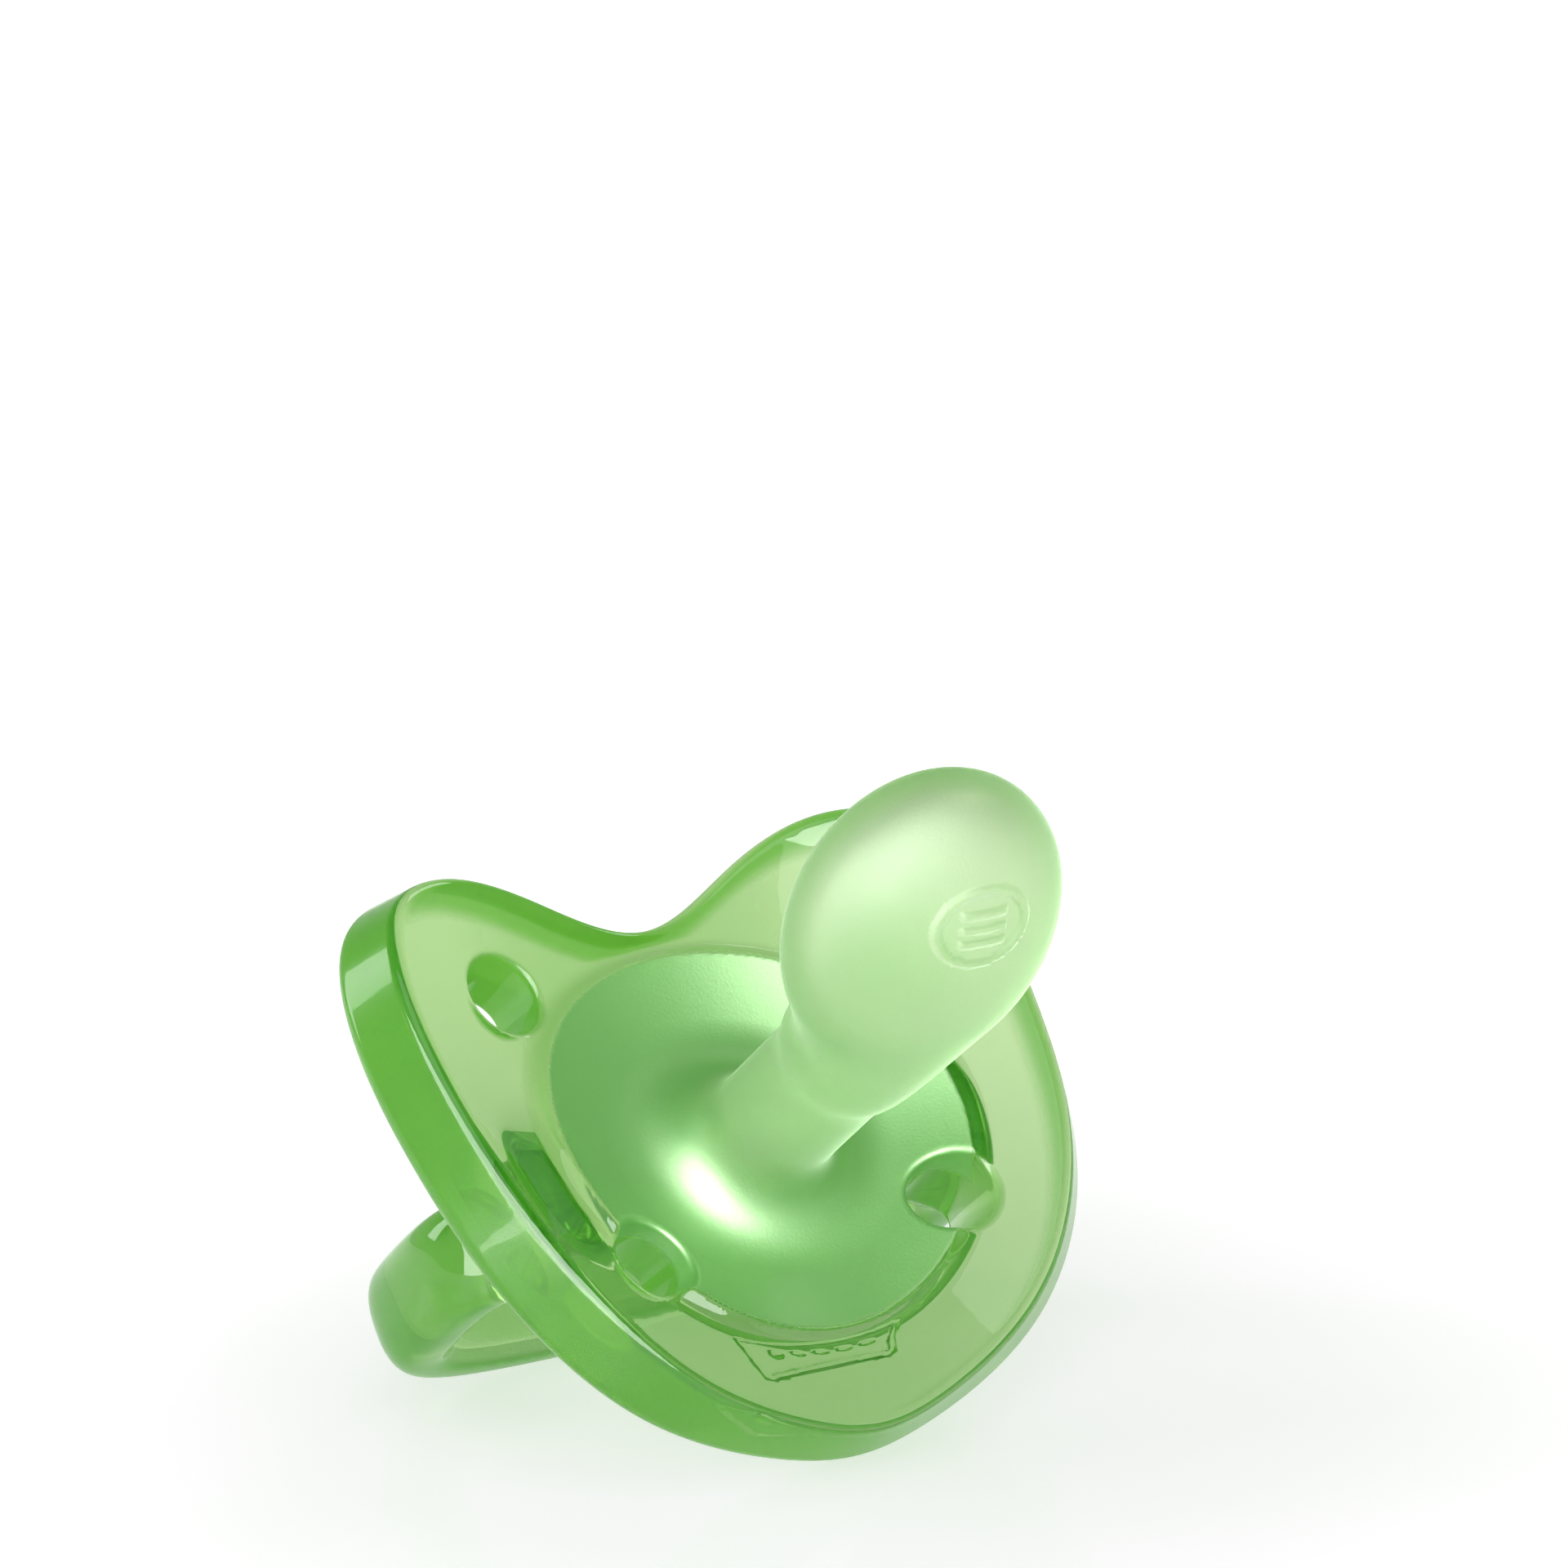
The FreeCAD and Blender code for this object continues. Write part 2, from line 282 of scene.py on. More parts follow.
def shield_coordinates(x, y, z):
    """Place along the shield and depth behind its face, from shield frame points."""
    u, v = x, y
    for _ in range(6):
        slope_u = 2.0 * SIDE_SWEEP * u / SHIELD_HALF_WIDTH ** 2
        slope_v = 3.0 * BROW_SWEEP * v * v / BROW_REACH ** 3
        slope_v = slope_v + BROW_LIFT * v / (0.5 * BROW_REACH ** 2)
        length = np.sqrt(1.0 + slope_u ** 2 + slope_v ** 2)
        depth = (slope_u * (x - u) + slope_v * (y - v) + face_height(u, v) - z) / length
        held = np.maximum(depth, -FOLLOWED_REACH)
        u = x - held * slope_u / length
        v = y - held * slope_v / length
    return u, v, depth


def dish_rise(x, y):
    """Height of the dish and its ridge above the shield's face."""
    reach = np.hypot(x, y - DISH_CENTRE_Y)
    bowl = RIDGE_HEIGHT - BOWL_DEPTH * (1.0 - (reach / DISH_RADIUS) ** 2)
    flank = RIDGE_HEIGHT - RIDGE_FLANK * (reach - DISH_RADIUS)
    gap = np.clip(0.5 + 0.5 * (flank - bowl) / RIDGE_CREST, 0.0, 1.0)
    inner = flank + (bowl - flank) * gap - RIDGE_CREST * gap * (1.0 - gap)
    lift = np.clip(0.5 + 0.5 * inner / RIDGE_FOOT, 0.0, 1.0)
    outside = inner * lift + RIDGE_FOOT * lift * (1.0 - lift)
    return np.where(reach < DISH_RADIUS - 1.0, bowl, outside)


def plate_relief(x, y):
    """Raised blank frame with a row of plain pips, on the back of the chin."""
    half_w, half_h = PLATE_HALVES
    across = np.abs(x) - (half_w - PLATE_TAPER * half_w * (1.0 - (y - PLATE_Y) / half_h))
    along = np.abs(y - PLATE_Y + 0.5 * (x / half_w) ** 2 * (y < PLATE_Y)) - half_h
    edge = meet(across, along, PLATE_CORNER)
    line = 1.0 - step(0.08, 0.36, np.abs(edge + 0.35))
    pip_x = x - PIP_PITCH * np.clip(np.round(x / PIP_PITCH), -2, 2)
    pips = 1.0 - step(0.25, 0.6, np.hypot(pip_x, y - PLATE_Y))
    return PLATE_RELIEF * line + PIP_RELIEF * pips


def teat(x, y, z):
    """The neck and bulb outside, and the hollow core inside (mould frame)."""
    ring = np.hypot(x, y - DISH_CENTRE_Y)
    bx, by, bz = turn_x(x, y - BULB_CENTRE[1], z - BULB_CENTRE[2], BULB_TILT)
    outer = ellipsoid(bx, by, bz, BULB_HALVES) - emblem(bx, by, bz)
    inner = ellipsoid(bx, by, bz, [half - BULB_WALL for half in BULB_HALVES])
    tube = np.hypot(ring, np.maximum(z - NECK_TOP, 0.0)) - NECK_RADIUS
    bore = np.hypot(ring, np.maximum(z - BORE_TOP, 0.0)) - BORE_RADIUS
    bore = np.maximum(bore, BEHIND_SHIELD - z)
    return join(tube, outer, BULB_FILLET), join(bore, inner, CORE_FILLET)


def emblem(x, y, z):
    """Plain raised ring and three bars on the chin side of the bulb."""
    along = z - EMBLEM_HEIGHT
    ring = np.hypot(x / EMBLEM_HALVES[0], along / EMBLEM_HALVES[1])
    line = 1.0 - step(0.05, 0.15, np.abs(ring - 1.0))
    bar = along - EMBLEM_PITCH * np.clip(np.round(along / EMBLEM_PITCH), -1, 1)
    bars = (1.0 - step(0.14, 0.32, np.abs(bar))) * (1.0 - step(1.4, 1.7, np.abs(x)))
    return EMBLEM_RELIEF * np.maximum(line, bars) * (y < 0.0)


def vent_holes(x, y, z):
    """The four vents, straight along the mould frame's Z (mould frame)."""
    out = np.full(x.shape, 99.0)
    for vx, vy in VENTS:
        _, my, mz = turn_x(vx, vy, face_height(vx, vy), -MOULD_TILT)
        radius = VENT_RADIUS - VENT_DRAFT * np.clip(mz - z, 0.0, 7.0)
        out = np.minimum(out, np.hypot(np.abs(x) - vx, y - my) - radius)
    return np.maximum(np.maximum(out, BEHIND_SHIELD - z), z - VENT_TOP)


def handle(x, y, z):
    """The finger loop, without a bar across its front."""
    # worked out only near the band, which is far from everything else
    out = np.full(x.shape, 20.0)
    near = (z < 1.0) & (np.abs(y) < 12.0)
    ring = np.abs(HANDLE_LOOP.distance(x[near], z[near])) / BAND_HALF_THICKNESS
    side = np.abs(y[near] - HANDLE_Y) / BAND_HALF_HEIGHT
    band = (ring ** BAND_ROUNDNESS + side ** BAND_ROUNDNESS) ** (1.0 / BAND_ROUNDNESS) - 1.0
    band = band * BAND_HALF_THICKNESS
    front = np.maximum(np.abs(x[near]) - BAND_FRONT_GAP, BEHIND_SHIELD - z[near])
    out[near] = cut(band, front, 1.5)
    return out


def soother(x, y, z):
    """The whole skin, negative inside the silicone (mould frame)."""
    sx, sy, sz = turn_x(x, y, z, MOULD_TILT)
    u, v, depth = shield_coordinates(sx, sy, sz)
    outer, core = teat(x, y, z)
    front = -depth - dish_rise(u, v)
    back = depth - SHIELD_THICKNESS - plate_relief(u, v) * (depth > 3.0)
    # the outline matters only near the rim
    edge = np.full(x.shape, -5.0)
    rim = np.hypot(u, v) > 13.0
    edge[rim] = OUTLINE.distance(u[rim], v[rim])
    body = meet(front, edge, FRONT_EDGE_RADIUS)
    body = join(body, outer, ROOT_FILLET)
    body = meet(body, back, BACK_EDGE_RADIUS)
    body = join(body, handle(x, y, z), LEG_FILLET)
    body = cut(body, vent_holes(x, y, z), VENT_EDGE_RADIUS)
    return cut(body, core, BORE_EDGE_RADIUS)


def looks(x, y, z):
    """Three shares for the skin: satin finish, dish floor, and side or vent wall."""
    sx, sy, sz = turn_x(x, y, z, MOULD_TILT)
    u, v, depth = shield_coordinates(sx, sy, sz)
    reach = np.hypot(u, v - DISH_CENTRE_Y)
    _, core = teat(x, y, z)
    # satin inside the ridge and all the way up the teat, but not in the core
    dish = (1.0 - step(14.15, 14.45, reach)) * (1.0 - step(1.3, 1.9, depth))
    satin = np.maximum(dish, step(2.5, 4.0, -depth)) * step(0.1, 0.6, core)
    dish = dish * (1.0 - step(1.5, 7.0, -depth - dish_rise(u, v))) * step(0.1, 0.6, core)
    # walls: the side, a band of the back along the rim, the vents and, more weakly, the loop
    side = np.full(x.shape, -9.0)
    rim = np.hypot(u, v) > 15.0
    side[rim] = OUTLINE.distance(u[rim], v[rim])
    wall = step(-0.9, -0.2, side) * step(0.3, 0.9, depth)
    wall = np.maximum(wall, step(-2.0, -0.6, side) * step(2.0, 3.5, depth))
    vent = 1.0 - step(0.1, 0.5, np.abs(vent_holes(x, y, z)))
    loop = LOOP_SHARE * step(-5.0, -8.0, z)
    return satin, dish, np.maximum(np.maximum(wall, vent), loop)


# ---------------------------------------------------------------- meshing

def values(field, points):
    """The field at rows of points."""
    return field(points[:, 0], points[:, 1], points[:, 2])


def near_cells(field, low, high, cell):
    """Grid cells that the skin may pass through, found from coarse to fine."""
    scale = COARSEST
    counts = np.ceil((high - low) / (cell * scale)).astype(int)
    cells = np.stack(np.meshgrid(*[np.arange(n) for n in counts], indexing="ij"), -1)
    cells = cells.reshape(-1, 3)
    corners = np.stack(np.meshgrid([0, 1], [0, 1], [0, 1], indexing="ij"), -1).reshape(-1, 3)
    while scale > 1:
        centre = low + (cells + 0.5) * cell * scale
        keep = np.abs(values(field, centre)) < KEPT_REACH * cell * scale
        cells = (cells[keep][:, None, :] * 2 + corners[None]).reshape(-1, 3)
        scale //= 2
    return cells


def untangle(grid_key, value, stride):
    """Change the side of corners where the skin would cross a grid face twice."""
    for first, second in ((0, 1), (1, 2), (0, 2)) * 3:
        corner = [np.arange(len(grid_key))]
        there = np.ones(len(grid_key), bool)
        for step_on in (stride[first], stride[second], stride[first] + stride[second]):
            place = np.minimum(np.searchsorted(grid_key, grid_key + step_on), len(grid_key) - 1)
            there &= grid_key[place] == grid_key + step_on
            corner.append(place)
        side = [value[c] < 0.0 for c in corner]
        twice = there & (side[0] == side[3]) & (side[1] == side[2]) & (side[0] != side[1])
        four = np.stack([c[twice] for c in corner], 1)
        if len(four):
            nearest = np.abs(value[four]).argmin(1)
            change = np.unique(four[np.arange(len(four)), nearest])
            value[change] = np.where(value[change] < 0.0, 1e-4, -1e-4)
    return value


def surface_net(field, low, high, cell):
    """Vertices and quads of the skin."""
    cells = near_cells(field, low, high, cell)
    stride = np.array([KEY_SPAN ** 2, KEY_SPAN, 1], np.int64)
    corners = np.stack(np.meshgrid([0, 1], [0, 1], [0, 1], indexing="ij"), -1).reshape(-1, 3)
    cell_key = (cells + 1) @ stride
    order = np.argsort(cell_key)
    cells = cells[order]
    cell_key = cell_key[order]
    corner_key = cell_key[:, None] + (corners @ stride)[None]
    grid_key = np.unique(corner_key)
    ijk = np.stack([grid_key // stride[0], grid_key // stride[1] % KEY_SPAN,
                    grid_key % KEY_SPAN], 1)
    value = untangle(grid_key, values(field, low + (ijk - 1) * cell), stride)
    corner_value = value[np.searchsorted(grid_key, corner_key)]
    inside = corner_value < 0.0
    crossed = inside.any(1) & ~inside.all(1)
    cells = cells[crossed]
    cell_key = cell_key[crossed]
    corner_value = corner_value[crossed]
    inside = inside[crossed]
    total = np.zeros((len(cells), 3))
    count = np.zeros(len(cells))
    for a in range(8):
        for b in range(a + 1, 8):
            if np.abs(corners[a] - corners[b]).sum() == 1:
                hit = inside[:, a] != inside[:, b]
                va = corner_value[hit, a]
                vb = corner_value[hit, b]
                share = (va / (va - vb))[:, None]
                total[hit] += corners[a] + share * (corners[b] - corners[a])
                count[hit] += 1
    points = low + (cells + total / count[:, None]) * cell
    quads = []
    for axis in range(3):
        first, second = [a for a in range(3) if a != axis]
        if axis == 1:
            first, second = second, first
        there = np.searchsorted(grid_key, grid_key + stride[axis])
        there = np.minimum(there, len(grid_key) - 1)
        found = grid_key[there] == grid_key + stride[axis]
        flip = found & ((value < 0.0) != (value[there] < 0.0))
        key = grid_key[flip]
        leaving = value[flip] < 0.0
        ring = []
        for i, j in ((0, 0), (-1, 0), (-1, -1), (0, -1)):
            want = key + i * stride[first] + j * stride[second]
            place = np.minimum(np.searchsorted(cell_key, want), len(cell_key) - 1)
            ring.append(np.where(cell_key[place] == want, place, -1))
        ring = np.stack(ring, 1)
        ring[~leaving] = ring[~leaving][:, ::-1]
        quads.append(ring[(ring >= 0).all(1)])
    return points, np.concatenate(quads)


def slope_of(field, points, reach=0.02):
    """Gradient of the field."""
    out = np.empty_like(points)
    for axis in range(3):
        shift = np.zeros(3)
        shift[axis] = reach
        out[:, axis] = (values(field, points + shift) - values(field, points - shift)) / (2 * reach)
    return out


def relax(points, quads, rounds):
    """Even out the mesh by moving every vertex towards its neighbours' middle."""
    for _ in range(rounds):
        total = np.zeros_like(points)
        count = np.zeros(len(points))
        for a, b in ((0, 1), (1, 2), (2, 3), (3, 0)):
            for here, there in ((a, b), (b, a)):
                for axis in range(3):
                    total[:, axis] += np.bincount(
                        quads[:, here], points[quads[:, there], axis], len(points))
                count += np.bincount(quads[:, here], minlength=len(points))
        points = 0.4 * points + 0.6 * total / np.maximum(count, 1)[:, None]
    return points


def onto_skin(field, points, cell, rounds):
    """Move vertices onto the skin along the field's slope."""
    for _ in range(rounds):
        slope = slope_of(field, points)
        size = (slope * slope).sum(1)
        move = values(field, points) / np.maximum(size, 0.05)
        move = np.clip(move, -cell, cell)
        points = points - slope * move[:, None]
    return points


def to_row(points):
    """Mould frame millimetres to row frame metres."""
    _, y, z = turn_x(None, points[:, 1], points[:, 2], ROW_TILT)
    return np.stack([points[:, 0], y, z], 1) / 1000.0 + SHIFT


def row_point(x, y, z):
    """A mould frame place in the row frame."""
    return Vector(to_row(np.array([[x, y, z]], float))[0])


def row_direction(x, y, z):
    """A mould frame direction in the row frame."""
    return row_point(x, y, z) - row_point(0, 0, 0)


def shift_from_frame():
    """Where the mould frame's origin is in the row frame, from the teat's bending axis."""
    joint = [j for j in frame["joints"] if j["name"] == "teat_bend"][0]
    _, y, z = turn_x(0.0, DISH_CENTRE_Y / 1000.0, TEAT_AXIS_HEIGHT / 1000.0, ROW_TILT)
    return np.array([0.0, joint["pos_m"][1] - y, joint["pos_m"][2] - z])


SHIFT = shift_from_frame()


def skin_mesh():
    """Points (mould frame) and quads of the whole skin."""
    points, quads = surface_net(soother, np.array(SKIN_LOW), np.array(SKIN_HIGH), CELL)
    points = relax(points, quads, 2)
    points = onto_skin(soother, points, CELL, 3)
    print("skin", len(points), "points")
    return points, quads


# ---------------------------------------------------------------- parting the skin into pieces

CLEAR_SEAM = 1                           # material slots of the seams, after the skin's own
TINTED_SEAM = 2


class Seam:
    """A flat hidden seam. Only faces inside the region are parted."""

    def __init__(self, point, normal, region):
        self.point = row_point(*point)
        self.normal = row_direction(*normal).normalized()
        self.region = region


def whole_bmesh(points, quads):
    """The whole skin in row frame metres, with the shares of its looks on its points."""
    mesh = bpy.data.meshes.new("skin")
    mesh.vertices.add(len(points))
    mesh.vertices.foreach_set("co", to_row(points).astype(np.float32).ravel())
    mesh.loops.add(quads.size)
    mesh.loops.foreach_set("vertex_index", quads.astype(np.int32).ravel())
    mesh.polygons.add(len(quads))
    mesh.polygons.foreach_set("loop_start", np.arange(0, quads.size, 4, dtype=np.int32))
    mesh.update(calc_edges=True)
    mesh.validate()
    for name, share in zip(("satin", "dish", "wall"), values(looks, points)):
        layer = mesh.attributes.new(name, "FLOAT", "POINT")
        layer.data.foreach_set("value", share.astype(np.float32))
    bm = bmesh.new()
    bm.from_mesh(mesh)
    bpy.data.meshes.remove(mesh)
    return bm


def bring_normals(mesh):
    """Shade the skin by the field's own slope, and the seams flat."""
    count = len(mesh.vertices)
    co = np.empty(count * 3, np.float32)
    mesh.vertices.foreach_get("co", co)
    points = (co.reshape(-1, 3).astype(float) - SHIFT) * 1000.0
    _, y, z = turn_x(None, points[:, 1], points[:, 2], -ROW_TILT)
    slope = slope_of(soother, np.stack([points[:, 0], y, z], 1))
    slope /= np.linalg.norm(slope, axis=1)[:, None]
    _, y, z = turn_x(None, slope[:, 1], slope[:, 2], ROW_TILT)
    smooth = np.stack([slope[:, 0], y, z], 1)
    loops = np.empty(len(mesh.loops), np.int32)
    mesh.loops.foreach_get("vertex_index", loops)
    normals = smooth[loops]
    for face in mesh.polygons:
        if face.material_index:
            for i in face.loop_indices:
                normals[i] = face.normal
    mesh.normals_split_custom_set([tuple(n) for n in normals])


def cut_seam(bm, seam):
    """Cut the faces near a seam along its plane, and mark the cut edges."""
    near = {f for f in bm.faces if seam.region(f.calc_center_median())}
    edges = {e for f in near for e in f.edges}
    corners = {v for f in near for v in f.verts}
    for corner in corners:
        height = (corner.co - seam.point).dot(seam.normal)
        if abs(height) < SEAM_SNAP:
            corner.co -= seam.normal * height
    result = bmesh.ops.bisect_plane(
        bm, geom=list(near | edges | corners), dist=1e-6, plane_co=seam.point,
        plane_no=seam.normal)
    for item in result["geom_cut"]:
        if isinstance(item, bmesh.types.BMEdge):
            item.seam = True


def cap(bm, edges, material_index):
    """Close a flat rim, which may have a second one inside it, with flat faces of one material."""
    points = np.array([v.co for e in edges for v in e.verts])
    normal = np.linalg.svd(points - points.mean(0), full_matrices=False)[2][2]
    filled = bmesh.ops.triangle_fill(
        bm, use_beauty=True, use_dissolve=False, edges=edges, normal=Vector(normal))
    for item in filled["geom"]:
        if isinstance(item, bmesh.types.BMFace):
            item.material_index = material_index
            item.smooth = False


def mould_point(co):
    """Row frame place to mould frame millimetres."""
    y = (co.y - SHIFT[1]) * 1000.0
    z = (co.z - SHIFT[2]) * 1000.0
    return turn_x(co.x * 1000.0, y, z, -ROW_TILT)


def near_leg(co):
    """Whether a place is at the seam between a handle foot and the loop."""
    x, y, z = mould_point(co)
    _, _, height = turn_x(x, y, z, MOULD_TILT)
    return abs(x) > 9.0 and abs(y) < 9.0 and -8.0 < height < -3.0


def near_neck(co):
    """Whether a place is on the neck, inside or outside."""
    x, y, z = mould_point(co)
    return math.hypot(x, y - DISH_CENTRE_Y) < 7.5 and 3.0 < z < 15.0


def patches(bm):
    """Connected groups of faces, parted by the marked edges."""
    left = set(bm.faces)
    while left:
        todo = [left.pop()]
        found = list(todo)
        while todo:
            for edge in todo.pop().edges:
                if edge.seam:
                    continue
                for other in edge.link_faces:
                    if other in left:
                        left.remove(other)
                        found.append(other)
                        todo.append(other)
        yield found


def piece_of(faces):
    """The piece that a patch belongs to, from how far up the teat it lies."""
    height = sum(mould_point(f.calc_center_median())[2] for f in faces) / len(faces)
    if height < BEHIND_SHIELD:
        return "finger_loop"
    if height < NECK_SEAM:
        return "soother_body"
    if height < BULB_SEAM:
        return "teat_neck_skin"
    return "teat_bulb_skin"


def rims(bm):
    """Boundary edges in groups, one for each flat cut."""
    groups = {}
    for edge in bm.edges:
        if edge.is_boundary:
            x, _, z = mould_point((edge.verts[0].co + edge.verts[1].co) / 2)
            if z > 3.0:
                key = "root" if z < 0.5 * (NECK_SEAM + BULB_SEAM) else "throat"
            else:
                key = "left" if x < 0 else "right"
            groups.setdefault(key, []).append(edge)
    return groups.items()


def make_pieces(points, quads):
    """The four pieces: body, finger loop, neck and bulb."""
    bm = whole_bmesh(points, quads)
    _, leg_y, leg_z = turn_x(0.0, 0.8, LEG_SEAM, -MOULD_TILT)
    leg_normal = (0.0, math.sin(MOULD_TILT), math.cos(MOULD_TILT))
    cut_seam(bm, Seam((0.0, leg_y, leg_z), leg_normal, near_leg))
    for height in (NECK_SEAM, BULB_SEAM):
        cut_seam(bm, Seam((0.0, DISH_CENTRE_Y, height), (0.0, 0.0, 1.0), near_neck))
    names = ("soother_body", "finger_loop", "teat_neck_skin", "teat_bulb_skin")
    label = bm.faces.layers.int.new("piece")
    for faces in patches(bm):
        number = names.index(piece_of(faces))
        for face in faces:
            face[label] = number
    pieces = {}
    for number, name in enumerate(names):
        copy = bm.copy()
        layer = copy.faces.layers.int["piece"]
        other = [f for f in copy.faces if f[layer] != number]
        bmesh.ops.delete(copy, geom=other, context="FACES")
        for place, rim in rims(copy):
            cap(copy, rim, CLEAR_SEAM if place in ("root", "throat") else TINTED_SEAM)
        bmesh.ops.recalc_face_normals(copy, faces=copy.faces)
        open_edges = sum(not edge.is_manifold for edge in copy.edges)
        print(name, len(copy.faces), "faces,", open_edges, "open edges")
        pieces[name] = finish_mesh(name, copy)
        copy.free()
    bm.free()
    return pieces


def finish_mesh(name, bm):
    """A named object from a piece's faces, smooth but for its seams."""
    for face in bm.faces:
        face.smooth = face.material_index == 0
    for edge in bm.edges:
        edge.seam = False
        edge.smooth = len({f.material_index for f in edge.link_faces}) == 1
    mesh = bpy.data.meshes.new(name)
    bm.to_mesh(mesh)
    bring_normals(mesh)
    obj = bpy.data.objects.new(name, mesh)
    bpy.context.scene.collection.objects.link(obj)
    return obj


# ---------------------------------------------------------------- materials

class Nodes:
    """Short names for building a node tree."""

    def __init__(self, tree):
        self.tree = tree
        self.tree.nodes.clear()

    def add(self, kind, **settings):
        node = self.tree.nodes.new(kind)
        for key, value in settings.items():
            setattr(node, key, value)
        return node

    def link(self, source, target):
        self.tree.links.new(source, target)

    def feed(self, target, value):
        """Link a socket, or set a plain value."""
        if isinstance(value, bpy.types.NodeSocket):
            self.link(value, target)
        else:
            target.default_value = value

    def math(self, operation, a, b=0.0, clamp=False):
        node = self.add("ShaderNodeMath", operation=operation, use_clamp=clamp)
        self.feed(node.inputs[0], a)
        self.feed(node.inputs[1], b)
        return node.outputs[0]

    def mix_shader(self, factor, a, b):
        node = self.add("ShaderNodeMixShader")
        self.feed(node.inputs[0], factor)
        self.link(a, node.inputs[1])
        self.link(b, node.inputs[2])
        return node.outputs[0]


SILICONE_IOR = 1.41
ABSORPTION = (78.0, 39.0, 140.0)         # per metre, red, green and blue
CLOUD_LENGTH = 0.012                     # metres of silicone that hide most of what is behind
CLOUD_COLOUR = (0.09, 0.39, 0.042, 1.0)
WALL_COLOUR = (0.15, 0.46, 0.045, 1.0)
SHEEN_COLOUR = (0.80, 0.98, 0.70, 1.0)
DISH_COLOUR = (0.065, 0.36, 0.02, 1.0)
BLOOM_COLOUR = (0.50, 0.68, 0.40, 1.0)
SHADOW_TINT = (0.80, 0.91, 0.77, 1.0)
LEG_TINT = (0.50, 0.76, 0.36, 1.0)
WHITE = (1.0, 1.0, 1.0, 1.0)

WALL_SHARE = (0.6, 0.25)                 # seen from outside, and added from inside
DISH_SHARE = 0.88
BLOOM_SHARE = 0.16
SHEEN_SHARE = (0.012, 0.15)              # on the teat, and added in the dish

POLISH_ROUGHNESS = 0.03
SATIN_ROUGHNESS = 0.56                   # added to the polish where the finish is satin
WALL_ROUGHNESS = 0.2
SHEEN_ROUGHNESS = 0.46
GRAIN = (5200.0, 0.000012)               # satin grain: scale and height in metres
WAVER = (220.0, 0.00003)                 # slow waver of the skin: scale and height in metres


def cloud(n, colour):
    """Cloudy matter that sends half of the light back and lets half through."""
    scattered = n.add("ShaderNodeBsdfDiffuse")
    passed_on = n.add("ShaderNodeBsdfTranslucent")
    for node in (scattered, passed_on):
        node.inputs["Color"].default_value = colour
    return n.mix_shader(0.5, scattered.outputs[0], passed_on.outputs[0])


def gloss(n, roughness, normal, colour=WHITE):
    """A reflecting skin."""
    node = n.add("ShaderNodeBsdfGlossy")
    node.inputs["Color"].default_value = colour
    n.feed(node.inputs["Roughness"], roughness)
    n.link(normal, node.inputs["Normal"])
    return node.outputs[0]


def fine_relief(n, satin):
    """The grain of the satin finish and the slight waver of the polished one."""
    place = n.add("ShaderNodeTexCoord").outputs["Object"]
    grain = n.add("ShaderNodeTexNoise")
    n.feed(grain.inputs["Vector"], place)
    grain.inputs["Scale"].default_value = GRAIN[0]
    grain.inputs["Detail"].default_value = 2.0
    waver = n.add("ShaderNodeTexNoise")
    n.feed(waver.inputs["Vector"], place)
    waver.inputs["Scale"].default_value = WAVER[0]
    height = n.math("MULTIPLY", grain.outputs["Fac"], n.math("MULTIPLY", satin, GRAIN[1]))
    height = n.math("ADD", height, n.math("MULTIPLY", waver.outputs["Fac"], WAVER[1]))
    bump = n.add("ShaderNodeBump")
    bump.inputs["Strength"].default_value = 1.0
    bump.inputs["Distance"].default_value = 1.0
    n.link(height, bump.inputs["Height"])
    return bump.outputs[0]


